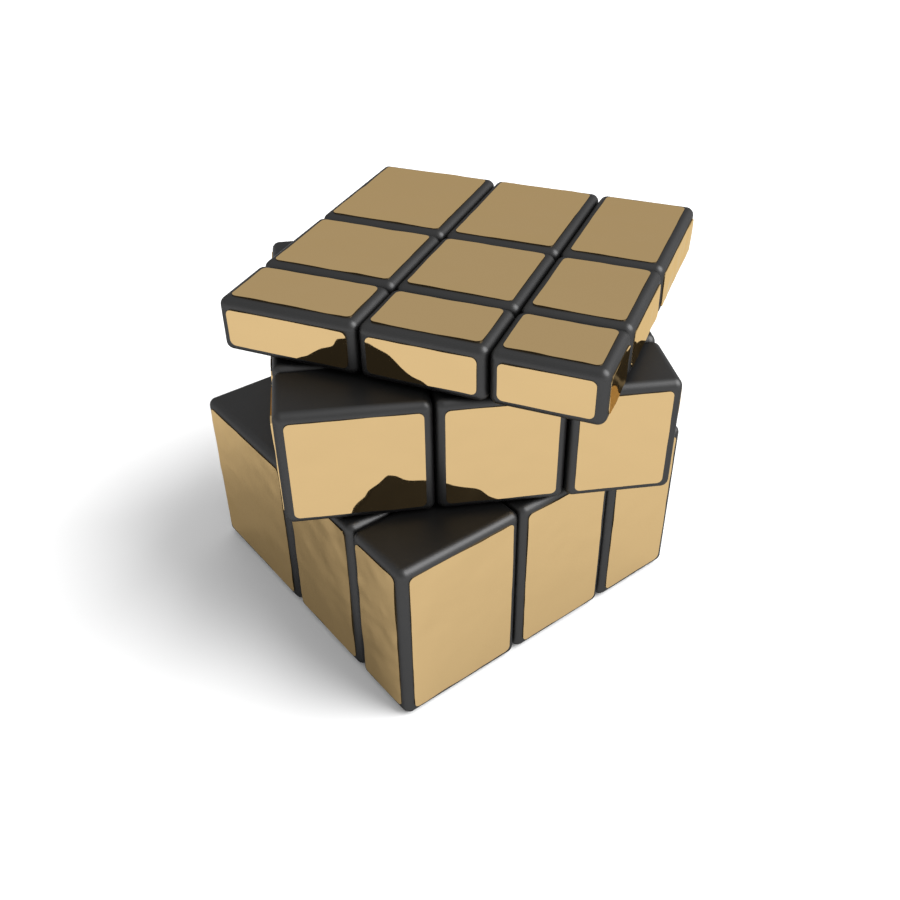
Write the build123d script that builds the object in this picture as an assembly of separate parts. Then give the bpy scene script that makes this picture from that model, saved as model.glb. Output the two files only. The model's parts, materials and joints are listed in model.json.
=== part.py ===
from build123d import *
import math
import os

# A mirror block cube: a 3 x 3 x 3 twisty puzzle whose slabs all differ in thickness.
# Every piece is drawn around the centre of the core, with the layers in line, and is then
# turned with its layer and lifted to its height.  +X is right, -Y is the front, +Z is up,
# and the bottom mirror plates rest on z = 0.

# ---- driving dimensions, in millimetres and degrees ----

SLICE = 19.0  # thickness of the middle slice along every axis
LEFT_FACE = 31.31  # core axis to the outer body face on each side
RIGHT_FACE = 25.61
FRONT_FACE = 21.85
BACK_FACE = 34.98
TOP_SLAB = 8.55  # thickness of the top layer's body
BOTTOM_SLAB = 29.45  # thickness of the bottom layer's body

TOP_TURN = -30.0  # how far each layer is turned about +Z
BOTTOM_TURN = 30.0

CLEARANCE = 0.1  # each piece keeps this far from every cut surface
EDGE_ROUND = 1.3  # rounding of the cubies' edges
WALL = 1.5  # wall of the hollow cubies

PLATE_RAISE = 0.25  # how far a mirror plate stands proud of its cubie
PLATE_MARGIN = 1.43  # bare border around a mirror plate
PLATE_CORNER = 0.85  # corner radius of a mirror plate

CUT_RADIUS = 15.5  # radius of the round step in every cut
CUT_DEPTH = 6.0  # distance of the inner cut plane from the core's centre
FOOT_REACH = 13.2  # how far a foot runs out under its cubie
STEM_START = 10.3  # the stem plugs a foot into its cubie's shell
STEM_END = 13.4
STEM_HALF_WIDTH = 4.6

CORE_BALL_RADIUS = 5.5
ARM_RADIUS = 3.2
ARM_END = 9.2
THREAD_RADIUS = 1.55
THREAD_START = 4.0

POST_HALF_WIDTH = 5.8
POST_START = 6.3
ARM_BORE_RADIUS = 3.4
HUB_FLOOR_START = 9.6
HUB_FLOOR_END = 10.8
SCREW_HOLE_RADIUS = 1.7
WELL_RADIUS = 4.2
HUB_TOP = 16.2

SPRING_HEIGHT = 3.2
SPRING_WIRE_RADIUS = 0.275
SPRING_MEAN_RADIUS = 2.9
SPRING_TURNS = 3
WASHER_THICKNESS = 0.4
WASHER_RADIUS = 3.7
WASHER_BORE_RADIUS = 1.65
SCREW_RADIUS = 1.5
SCREW_TIP = 4.4
SCREW_HEAD_RADIUS = 2.8
SCREW_HEAD_HEIGHT = 1.6
SCREW_HEAD_ROUND = 0.6
RECESS_LENGTH = 3.0
RECESS_WIDTH = 0.7
RECESS_DEPTH = 0.9

# ---- dimensions worked out from them ----

HALF_SLICE = SLICE / 2
CORE_HEIGHT = PLATE_RAISE + BOTTOM_SLAB + HALF_SLICE
FAR = 60.0  # longer than the whole puzzle, for cutting tools
SLICE_HALF_WIDTH = HALF_SLICE - CLEARANCE
CUBIE_START = HALF_SLICE + CLEARANCE
FOOT_START = CUT_DEPTH + CLEARANCE
FOOT_HALF_WIDTH = CUT_DEPTH - 2 * CLEARANCE
EDGE_RELIEF_START = CUT_DEPTH - CLEARANCE
MOVING_RADIUS = CUT_RADIUS - CLEARANCE
FIXED_RADIUS = CUT_RADIUS + CLEARANCE
CORNER_CAVITY_START = CUBIE_START + WALL
EDGE_CAVITY_START = FIXED_RADIUS / math.sqrt(2) + 0.8 * WALL
CAVITY_HALF_WIDTH = SLICE_HALF_WIDTH - WALL
SPRING_TOP = HUB_FLOOR_END + SPRING_HEIGHT
WASHER_TOP = SPRING_TOP + WASHER_THICKNESS
HEAD_TOP = WASHER_TOP + SCREW_HEAD_HEIGHT

AXES = (Axis.X, Axis.Y, Axis.Z)
FACES = {
    (0, -1): LEFT_FACE,
    (0, 1): RIGHT_FACE,
    (1, -1): FRONT_FACE,
    (1, 1): BACK_FACE,
    (2, -1): HALF_SLICE + BOTTOM_SLAB,
    (2, 1): HALF_SLICE + TOP_SLAB,
}
SIDE_NAMES = {
    (0, -1): "left",
    (0, 1): "right",
    (1, -1): "front",
    (1, 1): "back",
    (2, -1): "bottom",
    (2, 1): "top",
}
LAYER_NAMES = {-1: "bottom", 0: "middle", 1: "top"}
LAYER_TURNS = {-1: BOTTOM_TURN, 0: 0.0, 1: TOP_TURN}


# ---- tools for drawing along any axis ----


def block(spans):
    """A box from three (low, high) spans."""
    sizes = [high - low for low, high in spans]
    middle = [(high + low) / 2 for low, high in spans]
    return Pos(*middle) * Box(*sizes)


def signed_span(sign, start, end):
    """The span from start to end on the side of the core that sign names."""
    return (start, end) if sign > 0 else (-end, -start)


def spans_at(place, half_width, start, end):
    """Spans of a piece at a place: a middle width, or start to end on the place's side."""
    return [
        signed_span(sign, start, end) if sign else (-half_width, half_width)
        for sign in place
    ]


def rod(axis, radius, low=-FAR, high=FAR):
    """A round bar about an axis, 0 to 2, from low to high along it."""
    turn = (Rot(0, 90, 0), Rot(-90, 0, 0), Rot(0, 0, 0))[axis]
    offset = [0, 0, 0]
    offset[axis] = (low + high) / 2
    return Pos(*offset) * turn * Cylinder(radius, high - low)


def outward(axis, sign):
    """The turn that takes +Z, along which the hardware is drawn, to a face's direction."""
    if axis == 0:
        return Rot(0, 90 * sign, 0)
    if axis == 1:
        return Rot(-90 * sign, 0, 0)
    return Rot(0, 0, 0) if sign > 0 else Rot(180, 0, 0)


def placed(shape, layer):
    """Turn a shape with its layer and lift it from the core's centre to its height."""
    return Pos(0, 0, CORE_HEIGHT) * Rot(0, 0, LAYER_TURNS[layer]) * shape


def save(name, shapes):
    """Write one node, from one solid or from a group of separate ones."""
    node = Compound(label=name, children=shapes) if len(shapes) > 1 else shapes[0]
    node.label = name
    export_step(node, f"parts/{name}.step")


# ---- cubies: rounded hollow shells, and the feet that hold them in ----


def cubie_block(place):
    """The rounded outer block of the cubie at a place."""
    spans = [
        signed_span(sign, CUBIE_START, FACES[axis, sign]) if sign
        else (-SLICE_HALF_WIDTH, SLICE_HALF_WIDTH)
        for axis, sign in enumerate(place)
    ]
    sharp = block(spans)
    return fillet(sharp.edges(), EDGE_ROUND)


def foot(place):
    """The foot of a corner or edge: it hooks under the neighbouring centre pieces."""
    body = block(spans_at(place, FOOT_HALF_WIDTH, FOOT_START, FOOT_REACH))
    for axis, sign in enumerate(place):
        if sign:
            body &= rod(axis, MOVING_RADIUS)
    stem = block(spans_at(place, STEM_HALF_WIDTH, STEM_START, STEM_END))
    return body + stem


def cubie_shell(place):
    """The hollow shell of a corner or edge, with the seat of its foot cut out."""
    is_corner = all(place)
    cavity_start = CORNER_CAVITY_START if is_corner else EDGE_CAVITY_START
    cavity = block([
        signed_span(sign, cavity_start, FACES[axis, sign] - WALL) if sign
        else (-CAVITY_HALF_WIDTH, CAVITY_HALF_WIDTH)
        for axis, sign in enumerate(place)
    ])
    shell = cubie_block(place) - cavity
    if not is_corner:
        middle_axis = place.index(0)
        for side in (-1, 1):
            low, high = signed_span(side, EDGE_RELIEF_START, HALF_SLICE + 1)
            shell -= rod(middle_axis, FIXED_RADIUS, low, high)
    return shell - foot(place)


# ---- centres: a hub on the core's arm, and a cap that covers its screw ----


def centre_block(axis, sign):
    """The rounded outer block of a centre piece."""
    place = [0, 0, 0]
    place[axis] = sign
    return cubie_block(place)


def centre_hub(axis, sign):
    """The hub: a square post with a spring well, and a plate curved underneath."""
    spans = [(-FAR, FAR)] * 3
    spans[axis] = signed_span(sign, 0, HUB_TOP)
    plate = centre_block(axis, sign) & block(spans)
    for other in range(3):
        if other != axis:
            plate -= rod(other, FIXED_RADIUS)
    spans = [(-POST_HALF_WIDTH, POST_HALF_WIDTH)] * 3
    spans[axis] = signed_span(sign, POST_START, HUB_TOP)
    hub = plate + block(spans)
    bores = (
        (ARM_BORE_RADIUS, POST_START - 1, HUB_FLOOR_START),
        (SCREW_HOLE_RADIUS, HUB_FLOOR_START - 1, HUB_FLOOR_END + 1),
        (WELL_RADIUS, HUB_FLOOR_END, HUB_TOP + 1),
    )
    for radius, start, end in bores:
        low, high = signed_span(sign, start, end)
        hub -= rod(axis, radius, low, high)
    return hub


def centre_cap(axis, sign):
    """The cap: the outer box of a centre piece, hollow where it is deep enough."""
    spans = [(-FAR, FAR)] * 3
    spans[axis] = signed_span(sign, HUB_TOP, FAR)
    cap = centre_block(axis, sign) & block(spans)
    cavity_end = FACES[axis, sign] - WALL
    if cavity_end - HUB_TOP > WALL:
        spans = [(-CAVITY_HALF_WIDTH, CAVITY_HALF_WIDTH)] * 3
        spans[axis] = signed_span(sign, HUB_TOP, cavity_end)
        cap -= block(spans)
    return cap


# ---- mirror plates ----


def mirror_plate(place, axis):
    """The thin plate on the outer face of a cubie that looks along an axis."""
    spans = []
    for other, sign in enumerate(place):
        if other == axis:
            face = FACES[axis, sign]
            spans.append(signed_span(sign, face, face + PLATE_RAISE))
        elif sign:
            end = FACES[other, sign] - PLATE_MARGIN
            spans.append(signed_span(sign, HALF_SLICE + PLATE_MARGIN, end))
        else:
            half_width = HALF_SLICE - PLATE_MARGIN
            spans.append((-half_width, half_width))
    plate = block(spans)
    return fillet(plate.edges().filter_by(AXES[axis]), PLATE_CORNER)


# ---- the core and its hardware, drawn along +Z ----


def core():
    """The spider: a ball with six arms, each with a hole for its screw."""
    body = Sphere(CORE_BALL_RADIUS)
    for axis in range(3):
        body += rod(axis, ARM_RADIUS, -ARM_END, ARM_END)
    for axis, sign in FACES:
        low, high = signed_span(sign, THREAD_START, ARM_END + 1)
        body -= rod(axis, THREAD_RADIUS, low, high)
    return body


def screw():
    """A pan-head screw with a cross recess."""
    shank_length = WASHER_TOP - SCREW_TIP
    shank = Pos(0, 0, SCREW_TIP + shank_length / 2) * Cylinder(SCREW_RADIUS, shank_length)
    head_middle = WASHER_TOP + SCREW_HEAD_HEIGHT / 2
    head = Pos(0, 0, head_middle) * Cylinder(SCREW_HEAD_RADIUS, SCREW_HEAD_HEIGHT)
    head = fillet(head.edges().sort_by(Axis.Z)[-1:], SCREW_HEAD_ROUND)
    body = shank + head
    for turn in (0, 90):
        slot = Box(RECESS_LENGTH, RECESS_WIDTH, 2 * RECESS_DEPTH)
        body -= Pos(0, 0, HEAD_TOP) * Rot(0, 0, turn) * slot
    return body


def washer():
    """The flat washer between a spring and its screw's head."""
    middle = Pos(0, 0, SPRING_TOP + WASHER_THICKNESS / 2)
    ring = Cylinder(WASHER_RADIUS, WASHER_THICKNESS)
    return middle * (ring - Cylinder(WASHER_BORE_RADIUS, 2 * WASHER_THICKNESS))


def spring():
    """The compression spring between a hub's floor and its washer."""
    rise = SPRING_HEIGHT - 2 * SPRING_WIRE_RADIUS
    path = Helix(pitch=rise / SPRING_TURNS, height=rise, radius=SPRING_MEAN_RADIUS)
    section = Plane(origin=path @ 0, z_dir=path % 0) * Circle(SPRING_WIRE_RADIUS)
    coil = sweep(section, path=path, is_frenet=True)
    return Pos(0, 0, HUB_FLOOR_END + SPRING_WIRE_RADIUS) * coil


# ---- write every node ----


def piece_name(kind, place):
    """A piece's name: its kind, its layer and the sides that it lies on."""
    sides = [SIDE_NAMES[axis, sign] for axis, sign in enumerate(place[:2]) if sign]
    return "_".join([kind, LAYER_NAMES[place[2]]] + sides)


def write_cubies():
    """Corner and edge shells, one node each, and their feet in one node per layer."""
    feet = {}
    for layer in (-1, 0, 1):
        for x_side in (-1, 0, 1):
            for y_side in (-1, 0, 1):
                place = (x_side, y_side, layer)
                outer_faces = sum(1 for sign in place if sign)
                if outer_faces < 2:
                    continue
                kind = "corner" if outer_faces == 3 else "edge"
                save(piece_name(kind, place), [placed(cubie_shell(place), layer)])
                group = f"{LAYER_NAMES[layer]}_{kind}_feet"
                feet.setdefault(group, []).append(placed(foot(place), layer))
    for name, shapes in feet.items():
        save(name, shapes)


def write_centres():
    """Hubs, caps and springs, one node each, and the washers and screws."""
    side_washers = []
    screws = []
    for (axis, sign), side in SIDE_NAMES.items():
        layer = sign if axis == 2 else 0
        save(f"centre_hub_{side}", [placed(centre_hub(axis, sign), layer)])
        save(f"centre_cap_{side}", [placed(centre_cap(axis, sign), layer)])
        turn = outward(axis, sign)
        save(f"spring_{side}", [placed(turn * spring(), layer)])
        screws.append(placed(turn * screw(), 0))
        if axis == 2:
            save(f"washer_{side}", [placed(turn * washer(), layer)])
        else:
            side_washers.append(placed(turn * washer(), layer))
    save("side_washers", side_washers)
    save("tension_screws", screws)
    save("core", [placed(core(), 0)])


def mirror_node(place, axis):
    """The node that a mirror plate belongs to."""
    layer = LAYER_NAMES[place[2]]
    if axis == 2:
        return f"{layer}_face_mirrors"
    if place[2]:
        return f"{layer}_side_mirrors"
    if all(place[:2]):
        return "middle_edge_mirrors"
    return f"centre_mirror_{SIDE_NAMES[axis, place[axis]]}"


def write_mirrors():
    """Mirror plates, grouped by the face or layer that they cover."""
    groups = {}
    for layer in (-1, 0, 1):
        for x_side in (-1, 0, 1):
            for y_side in (-1, 0, 1):
                place = (x_side, y_side, layer)
                for axis in range(3):
                    if place[axis]:
                        plate = placed(mirror_plate(place, axis), layer)
                        groups.setdefault(mirror_node(place, axis), []).append(plate)
    for name, plates in groups.items():
        save(name, plates)


os.makedirs("parts", exist_ok=True)
write_cubies()
write_centres()
write_mirrors()
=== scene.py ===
import json
import math

import bmesh
import bpy
from mathutils import Matrix, Vector, noise


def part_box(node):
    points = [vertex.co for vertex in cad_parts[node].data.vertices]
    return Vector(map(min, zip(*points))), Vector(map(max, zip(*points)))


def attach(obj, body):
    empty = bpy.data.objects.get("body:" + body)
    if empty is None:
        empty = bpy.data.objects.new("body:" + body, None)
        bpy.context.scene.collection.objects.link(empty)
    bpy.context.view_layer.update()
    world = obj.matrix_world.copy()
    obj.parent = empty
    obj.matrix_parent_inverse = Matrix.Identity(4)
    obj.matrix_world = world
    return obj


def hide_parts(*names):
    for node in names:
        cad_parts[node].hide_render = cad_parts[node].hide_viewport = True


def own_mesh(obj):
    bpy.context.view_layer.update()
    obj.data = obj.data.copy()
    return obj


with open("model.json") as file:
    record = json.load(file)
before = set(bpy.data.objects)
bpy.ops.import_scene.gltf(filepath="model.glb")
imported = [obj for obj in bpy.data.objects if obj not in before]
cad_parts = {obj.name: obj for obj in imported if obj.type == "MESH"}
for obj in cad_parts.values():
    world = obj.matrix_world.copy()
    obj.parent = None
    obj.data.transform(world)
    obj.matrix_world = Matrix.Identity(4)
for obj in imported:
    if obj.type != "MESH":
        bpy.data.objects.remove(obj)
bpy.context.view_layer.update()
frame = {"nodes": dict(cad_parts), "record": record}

# A mirror block cube on a white table.  The black cubies, the hubs and the hardware are the
# frame's own nodes with finished materials.  The gold mirror plates are rebuilt here as thin
# plates with the slight waviness of real mirror foil.  The six springs are rebuilt as wound
# coils.

MM = 0.001

SHARP_ANGLE = 50.0  # a piece's faces that meet more sharply than this keep a crisp edge
TOP_TURN = -30.0  # degrees about +Z, from square with the middle layer
BOTTOM_TURN = 30.0

# ---- the mirror plates' form, in metres ----

PLATE_CORNER = 0.85 * MM  # corner radius, as on the frame's plates
GRID_PITCH = 0.4 * MM  # spacing of the points on a plate's face
CORNER_STEPS = 6
WELD = 1e-7  # points of the frame's plates that are closer than this are one point
WAVE_HEIGHT = 0.13 * MM  # how far the foil's waves rise and fall
WAVE_LENGTH = 5.0 * MM
RIPPLE_HEIGHT = 0.35  # the finer waves on top, as a share of the waves
RIPPLE_SCALE = 2.1  # how much finer they are
RIPPLE_OFFSET = Vector((7, 3, 0))
WAVE_SEED = 30.64  # picks the waves
WAVE_SEED_STEP = 3.7  # from one plate to the next, so that every plate has its own

# ---- the springs' form ----

SPRING_WIRE = 0.275 * MM  # radius of the wire
SPRING_TURNS = 3
SPRING_STEPS = 36  # points in one turn
SPRING_SIDES = 12  # points round the wire

# ---- the colours: each material runs between two of them ----

BLACK = (0.0475, 0.0475, 0.048), (0.0525, 0.0525, 0.053)
BLACK_TINT = (0.5, 0.5, 0.5)
GOLD = (0.481, 0.339, 0.164), (0.496, 0.348, 0.169)
HUB_BLACK = (0.02, 0.02, 0.021), (0.03, 0.03, 0.031)
CORE_WHITE = (0.72, 0.71, 0.68), (0.8, 0.79, 0.76)
SCREW_STEEL = (0.55, 0.56, 0.58), (0.68, 0.69, 0.7)
WASHER_STEEL = (0.5, 0.5, 0.51), (0.62, 0.62, 0.63)
SPRING_STEEL = (0.42, 0.42, 0.44), (0.6, 0.6, 0.61)
TABLE_WHITE = (0.8, 0.8, 0.8), (0.81, 0.81, 0.81)

# The tint of the gold's gloss, by how slanting the view is: 0 is square on, 1 is edge on.
GOLD_TINTS = [
    (0.55, (0.83, 0.755, 0.64)),
    (0.7, (0.81, 0.72, 0.58)),
    (0.82, (0.73, 0.61, 0.42)),
    (0.88, (0.62, 0.46, 0.19)),
    (0.93, (0.38, 0.25, 0.0)),
]

# ---- the view and the light ----

CAMERA_PLACE = Vector((-22.377, -131.727, 121.873)) * MM
CAMERA_HEADING = -7.7364  # degrees from +Y, positive to the left
CAMERA_DIP = 36.2207  # degrees below the horizon
CAMERA_ROLL = -0.6911
CAMERA_LENS = 39.44  # millimetres
CAMERA_SENSOR = 36.0
CAMERA_NEAR = 0.005  # metres; nothing nearer or farther than these is drawn
CAMERA_FAR = 60.0

SKY = 0.80
HORIZON = 1.47  # as bright as the table, so the table has no visible end
HORIZON_RISE = 0.22  # sine of the height at which the sky is down to its own brightness
KEY_HEADING = -14.4  # degrees from +X towards +Y
KEY_RISE = 40.7
KEY_WIDTH = 54.8  # degrees across, as seen from the cube
KEY_STRENGTH = 5.0
FLOOR_SIZE = 30.0


# ---- node helpers ----


def new_material(name):
    """A new node material, returned with its tree and its Principled shader."""
    material = bpy.data.materials.new(name)
    material.use_nodes = True
    tree = material.node_tree
    shader = tree.nodes["Principled BSDF"]
    return material, tree, shader


def add_node(tree, kind, **values):
    """A node of a kind, with its sockets set by name."""
    made = tree.nodes.new(kind)
    for name, value in values.items():
        made.inputs[name.replace("_", " ")].default_value = value
    return made


def object_place(tree, stretch=(1, 1, 1)):
    """The place on the object in metres, scaled along each axis."""
    coordinates = tree.nodes.new("ShaderNodeTexCoord")
    mapping = tree.nodes.new("ShaderNodeMapping")
    mapping.inputs["Scale"].default_value = stretch
    tree.links.new(coordinates.outputs["Object"], mapping.inputs["Vector"])
    return mapping.outputs["Vector"]


def noise_field(tree, place, scale, detail=2.0, roughness=0.5):
    """A noise value from 0 to 1 at a place."""
    field = add_node(tree, "ShaderNodeTexNoise", Scale=scale, Detail=detail, Roughness=roughness)
    tree.links.new(place, field.inputs["Vector"])
    return field.outputs["Fac"]


def remap(tree, value, low, high, start=0.0, end=1.0):
    """A value between start and end, spread from low to high."""
    ramp = add_node(tree, "ShaderNodeMapRange")
    ramp.inputs["From Min"].default_value = start
    ramp.inputs["From Max"].default_value = end
    ramp.inputs["To Min"].default_value = low
    ramp.inputs["To Max"].default_value = high
    tree.links.new(value, ramp.inputs["Value"])
    return ramp.outputs["Result"]


def two_colours(tree, factor, first, second):
    """A colour that runs from first to second with the factor."""
    mix = tree.nodes.new("ShaderNodeMix")
    mix.data_type = "RGBA"
    mix.inputs["A"].default_value = (*first, 1)
    mix.inputs["B"].default_value = (*second, 1)
    tree.links.new(factor, mix.inputs["Factor"])
    return mix.outputs["Result"]


def colour_stops(tree, factor, stops):
    """A colour that runs through the stops with the factor, level before the first one."""
    ramp = tree.nodes.new("ShaderNodeValToRGB")
    elements = ramp.color_ramp.elements
    elements.remove(elements[1])
    elements[0].color = (*stops[0][1], 1)
    for position, colour in stops:
        elements.new(position).color = (*colour, 1)
    tree.links.new(factor, ramp.inputs["Fac"])
    return ramp.outputs["Color"]


def bump(tree, shader, height, distance, strength):
    """Bumps of a real height, in metres, on the shader's surface."""
    made = add_node(tree, "ShaderNodeBump", Strength=strength, Distance=distance)
    tree.links.new(height, made.inputs["Height"])
    tree.links.new(made.outputs["Normal"], shader.inputs["Normal"])


# ---- materials ----


def black_plastic():
    """Satin moulded black plastic with a fine spark-eroded grain.

    All of its light is gloss.  A dark metal base with a tinted edge holds that gloss at an even
    5%, where a plain dielectric would turn grey on the faces that are seen at a slant.
    """
    material, tree, shader = new_material("black_plastic")
    place = object_place(tree)
    tone = noise_field(tree, place, 90, detail=3)
    tree.links.new(two_colours(tree, tone, *BLACK), shader.inputs["Base Color"])
    patches = noise_field(tree, place, 220, detail=3)
    tree.links.new(remap(tree, patches, 0.42, 0.5), shader.inputs["Roughness"])
    grain = noise_field(tree, place, 5200, detail=2)
    bump(tree, shader, grain, 0.004 * MM, 0.5)
    shader.inputs["Metallic"].default_value = 1.0
    shader.inputs["Specular Tint"].default_value = (*BLACK_TINT, 1)
    return material


def gold_mirror():
    """Gold mirror foil: even colour, very smooth, with faint drawn streaks.

    The tint of its gloss deepens towards a slanting view, where metal would turn white, so the
    foil stays the same gold from every side.
    """
    material, tree, shader = new_material("gold_mirror")
    place = object_place(tree)
    tone = noise_field(tree, place, 70, detail=2)
    tree.links.new(two_colours(tree, tone, *GOLD), shader.inputs["Base Color"])
    shader.inputs["Metallic"].default_value = 1.0
    slant = tree.nodes.new("ShaderNodeLayerWeight").outputs["Facing"]
    tree.links.new(colour_stops(tree, slant, GOLD_TINTS), shader.inputs["Specular Tint"])
    haze = noise_field(tree, place, 400, detail=3)
    tree.links.new(remap(tree, haze, 0.02, 0.05), shader.inputs["Roughness"])
    streaks = noise_field(tree, object_place(tree, (1, 1, 0.12)), 900, detail=2)
    bump(tree, shader, streaks, 0.0015 * MM, 0.5)
    return material


def moulded(name, colours, roughness):
    """Plain moulded plastic with flow marks and a fine grain."""
    material, tree, shader = new_material(name)
    place = object_place(tree)
    flow = noise_field(tree, object_place(tree, (1, 1, 0.4)), 160, detail=4)
    tree.links.new(two_colours(tree, flow, *colours), shader.inputs["Base Color"])
    patches = noise_field(tree, place, 260, detail=3)
    rough = remap(tree, patches, roughness - 0.06, roughness + 0.06)
    tree.links.new(rough, shader.inputs["Roughness"])
    bump(tree, shader, noise_field(tree, place, 3800, detail=2), 0.004 * MM, 0.4)
    return material


def steel(name, colours, roughness, stretch):
    """Plated or drawn steel, with marks that run one way."""
    material, tree, shader = new_material(name)
    marks = noise_field(tree, object_place(tree, stretch), 2600, detail=3)
    tree.links.new(two_colours(tree, marks, *colours), shader.inputs["Base Color"])
    shader.inputs["Metallic"].default_value = 1.0
    rough = remap(tree, marks, roughness - 0.05, roughness + 0.08)
    tree.links.new(rough, shader.inputs["Roughness"])
    bump(tree, shader, marks, 0.003 * MM, 0.4)
    return material


def table_top():
    """The white table: matt, with the faintest unevenness."""
    material, tree, shader = new_material("table_top")
    place = object_place(tree)
    tone = noise_field(tree, place, 3, detail=2)
    tree.links.new(two_colours(tree, tone, *TABLE_WHITE), shader.inputs["Base Color"])
    shader.inputs["Roughness"].default_value = 0.9
    shader.inputs["Specular IOR Level"].default_value = 0.0
    return material


# ---- pieces ----


def new_piece(name, mesh, material):
    """A smooth-shaded piece with crisp corners, from a mesh that is used up by it."""
    bmesh.ops.recalc_face_normals(mesh, faces=mesh.faces)
    data = bpy.data.meshes.new(name)
    mesh.to_mesh(data)
    mesh.free()
    for polygon in data.polygons:
        polygon.use_smooth = True
    data.set_sharp_from_angle(angle=math.radians(SHARP_ANGLE))
    data.materials.append(material)
    piece = bpy.data.objects.new(name, data)
    bpy.context.scene.collection.objects.link(piece)
    return piece


# ---- mirror plates ----


def split_plates(node):
    """The separate plates of a CAD node, each as the list of its corner places."""
    mesh = bmesh.new()
    mesh.from_mesh(node.data)
    bmesh.ops.remove_doubles(mesh, verts=mesh.verts, dist=WELD)
    seen = set()
    plates = []
    for start in mesh.verts:
        if start in seen:
            continue
        seen.add(start)
        reached = [start]
        for point in reached:
            others = [edge.other_vert(point) for edge in point.link_edges]
            fresh = [other for other in others if other not in seen]
            seen.update(fresh)
            reached.extend(fresh)
        plates.append([point.co.copy() for point in reached])
    mesh.free()
    return plates


def plate_frame(points, turn):
    """A plate's centre, its two half sizes, its half thickness and its turning matrix.

    The plate lies square in the frame of its layer, which is turned about +Z.  The thinnest
    way through it is its normal, and the normal points away from the core.
    """
    unturned = Matrix.Rotation(-turn, 3, "Z")
    flat = [unturned @ point for point in points]
    low = Vector([min(point[i] for point in flat) for i in range(3)])
    high = Vector([max(point[i] for point in flat) for i in range(3)])
    size = high - low
    middle = (high + low) / 2
    thin = min(range(3), key=lambda i: size[i])
    normal = Vector((0, 0, 0))
    normal[thin] = 1.0 if middle[thin] > CORE[thin] else -1.0
    across = Vector((0, 0, 1)) if thin != 2 else Vector((0, 1, 0))
    along = across.cross(normal)
    turned = Matrix.Rotation(turn, 3, "Z")
    axes = Matrix((turned @ along, turned @ across, turned @ normal)).transposed()
    half_along = abs(size.dot(along)) / 2
    half_across = abs(size.dot(across)) / 2
    return turned @ middle, half_along, half_across, size[thin] / 2, axes


def grid_marks(half):
    """Places from -half to half for the lines of a plate's grid, with the corners' own marks."""
    straight = half - PLATE_CORNER
    count = max(2, round(2 * straight / GRID_PITCH))
    inner = [-straight + 2 * straight * i / count for i in range(count + 1)]
    angles = [math.pi / 2 * i / CORNER_STEPS for i in range(CORNER_STEPS)]
    outer = [straight + PLATE_CORNER * math.cos(angle) for angle in angles]
    return [-mark for mark in outer] + inner + list(reversed(outer))


def pull_into_corner(x, y, half_x, half_y):
    """A grid point moved so that the grid's square corner becomes a round one."""
    dx = abs(x) - (half_x - PLATE_CORNER)
    dy = abs(y) - (half_y - PLATE_CORNER)
    if dx <= 0 or dy <= 0:
        return x, y
    reach = max(dx, dy)
    length = math.hypot(dx, dy)
    dx, dy = dx * reach / length, dy * reach / length
    new_x = math.copysign(half_x - PLATE_CORNER + dx, x)
    new_y = math.copysign(half_y - PLATE_CORNER + dy, y)
    return new_x, new_y


def wave(x, y, seed):
    """Height of the foil's waves at a place on a plate, from -1 to 1 or so."""
    place = Vector((x / WAVE_LENGTH, y / WAVE_LENGTH, seed))
    ripple = noise.noise(place * RIPPLE_SCALE + RIPPLE_OFFSET)
    return noise.noise(place) + RIPPLE_HEIGHT * ripple


def add_plate(mesh, points, turn, seed):
    """Add one closed plate with a wavy face to the mesh."""
    centre, half_x, half_y, half_z, axes = plate_frame(points, turn)
    marks_x = grid_marks(half_x)
    marks_y = grid_marks(half_y)

    places = {}
    waves = {}
    for i, x in enumerate(marks_x):
        for j, y in enumerate(marks_y):
            places[i, j] = pull_into_corner(x, y, half_x, half_y)
            waves[i, j] = wave(*places[i, j], seed)
    crest = max(waves.values())

    def face_point(i, j):
        """A point of the face: its highest crest is flush with the plate's top."""
        height = half_z + WAVE_HEIGHT * (waves[i, j] - crest)
        return mesh.verts.new(centre + axes @ Vector((*places[i, j], height)))

    def back_point(i, j):
        """A point of the flat back."""
        return mesh.verts.new(centre + axes @ Vector((*places[i, j], -half_z)))

    last_x, last_y = len(marks_x) - 1, len(marks_y) - 1
    face = {(i, j): face_point(i, j) for i in range(last_x + 1) for j in range(last_y + 1)}
    for i in range(last_x):
        for j in range(last_y):
            mesh.faces.new((face[i, j], face[i + 1, j], face[i + 1, j + 1], face[i, j + 1]))

    loop = [(i, 0) for i in range(last_x)]
    loop += [(last_x, j) for j in range(last_y)]
    loop += [(i, last_y) for i in range(last_x, 0, -1)]
    loop += [(0, j) for j in range(last_y, 0, -1)]
    back = [back_point(i, j) for i, j in loop]
    for k, spot in enumerate(loop):
        following = (k + 1) % len(loop)
        mesh.faces.new((face[spot], back[k], back[following], face[loop[following]]))
    mesh.faces.new(list(reversed(back)))


def build_mirrors(node_name, material):
    """Rebuild a node's plates, in its place and on its body."""
    node = frame["nodes"][node_name]
    body = BODY_OF[node_name]
    turn = LAYER_TURNS.get(body, 0.0)
    mesh = bmesh.new()
    for number, points in enumerate(split_plates(node)):
        add_plate(mesh, points, turn, WAVE_SEED + WAVE_SEED_STEP * number)
    piece = new_piece(f"{node_name}_foil", mesh, material)
    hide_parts(node_name)
    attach(piece, body)


# ---- springs ----


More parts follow.
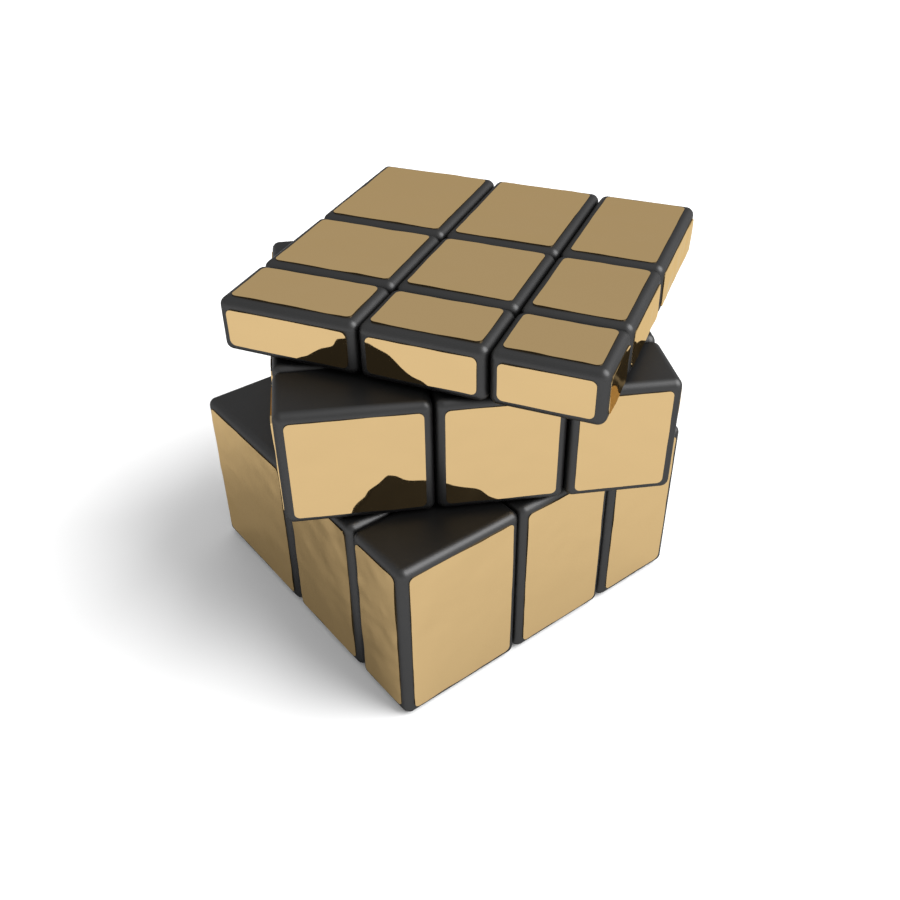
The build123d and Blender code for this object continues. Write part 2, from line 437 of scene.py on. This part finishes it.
def coil_mesh(foot, outward, radius, height):
    """A wound spring that stands on a foot point and reaches outward."""
    side = outward.orthogonal().normalized()
    other = outward.cross(side)
    mesh = bmesh.new()
    rings = []
    steps = SPRING_TURNS * SPRING_STEPS
    for step in range(steps + 1):
        angle = 2 * math.pi * step / SPRING_STEPS
        spoke = side * math.cos(angle) + other * math.sin(angle)
        rise = SPRING_WIRE + (height - 2 * SPRING_WIRE) * step / steps
        middle = foot + outward * rise + spoke * (radius - SPRING_WIRE)
        ring = []
        for k in range(SPRING_SIDES):
            around = 2 * math.pi * k / SPRING_SIDES
            wire_out = spoke * math.cos(around) + outward * math.sin(around)
            ring.append(mesh.verts.new(middle + SPRING_WIRE * wire_out))
        rings.append(ring)
    for first, second in zip(rings, rings[1:]):
        for k in range(SPRING_SIDES):
            following = (k + 1) % SPRING_SIDES
            mesh.faces.new((first[k], first[following], second[following], second[k]))
    mesh.faces.new(list(reversed(rings[0])))
    mesh.faces.new(rings[-1])
    return mesh


def build_spring(node_name, material):
    """Rebuild a node's spring as a wound coil, in its place and on its body."""
    low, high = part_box(node_name)
    middle = (low + high) / 2
    reach = max(range(3), key=lambda i: abs(middle[i] - CORE[i]))
    outward = Vector((0, 0, 0))
    outward[reach] = math.copysign(1.0, middle[reach] - CORE[reach])
    height = high[reach] - low[reach]
    radius = (high - low)[(reach + 1) % 3] / 2
    on_axis = CORE + outward * (middle - CORE).dot(outward)
    foot = on_axis - outward * height / 2
    piece = new_piece(f"{node_name}_coil", coil_mesh(foot, outward, radius, height), material)
    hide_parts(node_name)
    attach(piece, BODY_OF[node_name])
    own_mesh(piece)


# ---- the stage ----


def build_floor():
    """The table that the cube stands on."""
    mesh = bmesh.new()
    bmesh.ops.create_grid(mesh, x_segments=2, y_segments=2, size=FLOOR_SIZE / 2)
    data = bpy.data.meshes.new("table_top")
    mesh.to_mesh(data)
    mesh.free()
    floor = bpy.data.objects.new("table_top", data)
    bpy.context.scene.collection.objects.link(floor)
    data.materials.append(table_top())


def build_lights():
    """An even sky, brighter just above the table, and one very wide, soft lamp from the right.

    Light that the mirrors would throw on the table is left out, so its shade stays a plain grey.
    """
    bpy.context.scene.cycles.caustics_reflective = False
    world = bpy.data.worlds.new("studio")
    world.use_nodes = True
    tree = world.node_tree
    background = tree.nodes["Background"]
    background.inputs["Color"].default_value = (1, 1, 1, 1)
    directions = tree.nodes.new("ShaderNodeTexCoord")
    split = tree.nodes.new("ShaderNodeSeparateXYZ")
    tree.links.new(directions.outputs["Generated"], split.inputs["Vector"])
    strength = remap(tree, split.outputs["Z"], HORIZON, SKY, end=HORIZON_RISE)
    tree.links.new(strength, background.inputs["Strength"])
    bpy.context.scene.world = world

    heading = math.radians(KEY_HEADING)
    rise = math.radians(KEY_RISE)
    level = math.cos(rise)
    direction = Vector((level * math.cos(heading), level * math.sin(heading), math.sin(rise)))
    lamp = bpy.data.lights.new("key", "SUN")
    lamp.angle = math.radians(KEY_WIDTH)
    lamp.energy = KEY_STRENGTH
    key = bpy.data.objects.new("key", lamp)
    key.location = direction
    key.rotation_mode = "QUATERNION"
    key.rotation_quaternion = direction.to_track_quat("Z", "Y")
    bpy.context.scene.collection.objects.link(key)


def build_camera():
    """The camera, from its place, heading, dip and roll."""
    data = bpy.data.cameras.new("camera")
    data.lens = CAMERA_LENS
    data.sensor_width = CAMERA_SENSOR
    data.clip_start = CAMERA_NEAR
    data.clip_end = CAMERA_FAR
    camera = bpy.data.objects.new("camera", data)
    turn = Matrix.Rotation(math.radians(CAMERA_HEADING), 4, "Z")
    tip = Matrix.Rotation(math.radians(90 - CAMERA_DIP), 4, "X")
    roll = Matrix.Rotation(math.radians(CAMERA_ROLL), 4, "Z")
    camera.matrix_world = Matrix.Translation(CAMERA_PLACE) @ turn @ tip @ roll
    bpy.context.scene.collection.objects.link(camera)
    bpy.context.scene.camera = camera


# ---- put it together ----

BODIES = frame["record"]["behaviour"]["bodies"]
BODY_OF = {node: body for body, nodes in BODIES.items() for node in nodes}
SLOT_OF = {part["node"]: part["material_slot"] for part in frame["record"]["subparts"]}
CORE_LOW, CORE_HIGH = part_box("core")
CORE = (CORE_LOW + CORE_HIGH) / 2
LAYER_TURNS = {"top_layer": math.radians(TOP_TURN), "bottom_layer": math.radians(BOTTOM_TURN)}

MATERIALS = {
    "black_plastic": black_plastic(),
    "gold_mirror": gold_mirror(),
    "hub_plastic": moulded("hub_plastic", HUB_BLACK, roughness=0.45),
    "core_plastic": moulded("core_plastic", CORE_WHITE, roughness=0.4),
    "screw_steel": steel("screw_steel", SCREW_STEEL, roughness=0.22, stretch=(1, 1, 1)),
    "washer_steel": steel("washer_steel", WASHER_STEEL, roughness=0.32, stretch=(1, 0.2, 1)),
    "spring_steel": steel("spring_steel", SPRING_STEEL, roughness=0.25, stretch=(1, 1, 0.3)),
}

build_camera()
build_lights()
build_floor()
for name, cad_node in frame["nodes"].items():
    slot_name = SLOT_OF[name]
    if slot_name == "gold_mirror":
        build_mirrors(name, MATERIALS[slot_name])
    elif slot_name == "spring_steel":
        build_spring(name, MATERIALS[slot_name])
    else:
        cad_node.data.materials.clear()
        cad_node.data.materials.append(MATERIALS[slot_name])

bpy.context.scene.view_settings.view_transform = "Standard"
